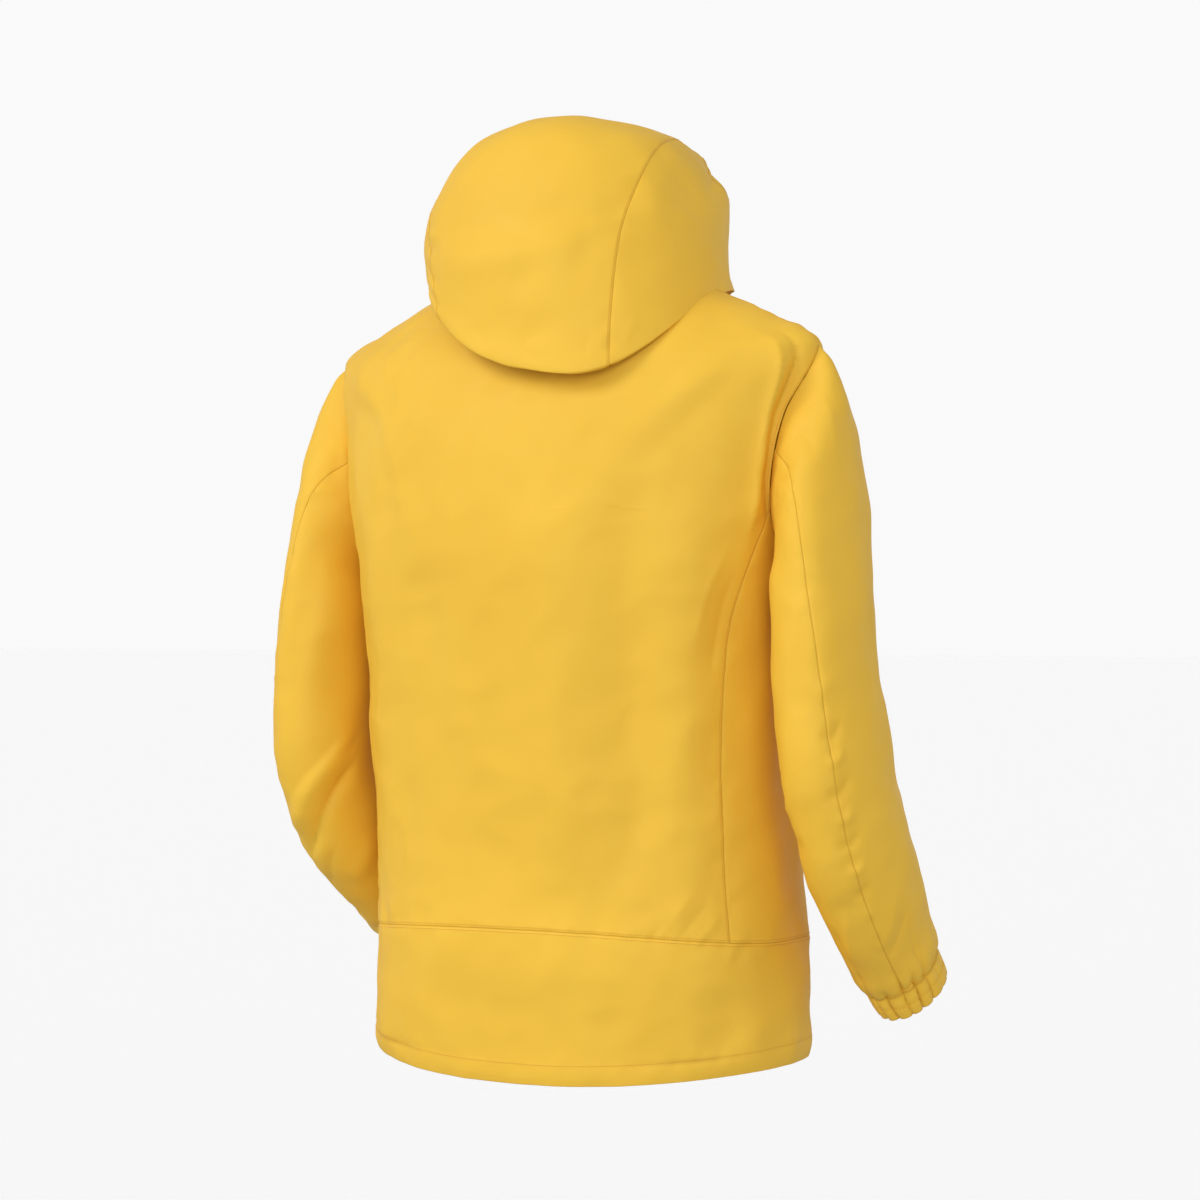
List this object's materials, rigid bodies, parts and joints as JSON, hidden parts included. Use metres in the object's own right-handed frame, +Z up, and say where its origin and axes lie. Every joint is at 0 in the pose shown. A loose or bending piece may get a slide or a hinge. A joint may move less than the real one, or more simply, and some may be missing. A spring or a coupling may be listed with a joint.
{
  "type": "hooded windbreaker jacket",
  "caption": "Hooded zip-front shell jacket in its hollow worn shape: three-panel hood, set-in two-piece sleeves with gathered cuffs, curved back seams and a lower back band.",
  "frame": {"origin": "middle of the neck opening, level with the side neck points, where the wearer holds the jacket up", "axes": "+Z up, -Y towards the front of the jacket, +X towards the wearer's left"},
  "size_m": [0.6147, 0.314, 0.8545],
  "materials": {
    "shell_back": "plain woven nylon with a soft sheen",
    "shell_side": "plain woven nylon with a soft sheen",
    "shell_band": "plain woven nylon with a soft sheen",
    "shell_front": "plain woven nylon with a soft sheen",
    "shell_hood": "plain woven nylon with a soft sheen",
    "shell_sleeve": "plain woven nylon with a soft sheen",
    "shell_cuff": "plain woven nylon, gathered on elastic",
    "zip_tape": "woven zip tape",
    "zip_metal": "painted zinc"
  },
  "bodies": {
    "jacket": {"back_centre": "shell_back", "back_side_left": "shell_side", "back_side_right": "shell_side", "back_lower": "shell_band", "front_left": "shell_front", "front_right": "shell_front", "hood_centre": "shell_hood", "hood_side_left": "shell_hood", "hood_side_right": "shell_hood", "sleeve_upper_left": "shell_sleeve", "sleeve_upper_right": "shell_sleeve", "sleeve_under_left": "shell_sleeve", "sleeve_under_right": "shell_sleeve", "cuff_left": "shell_cuff", "cuff_right": "shell_cuff", "zip_tape_left": "zip_tape", "zip_tape_right": "zip_tape", "zip_slider": "zip_metal"},
    "pull": {"zip_pull": "zip_metal"}
  },
  "joints": [
    {"name": "pull_swing", "type": "hinge", "parent": "jacket", "child": "pull", "pos_m": [0, -0.11017, -0.00069], "axis": [-1, 0, 0], "range_deg": [-8, 150]}
  ]
}
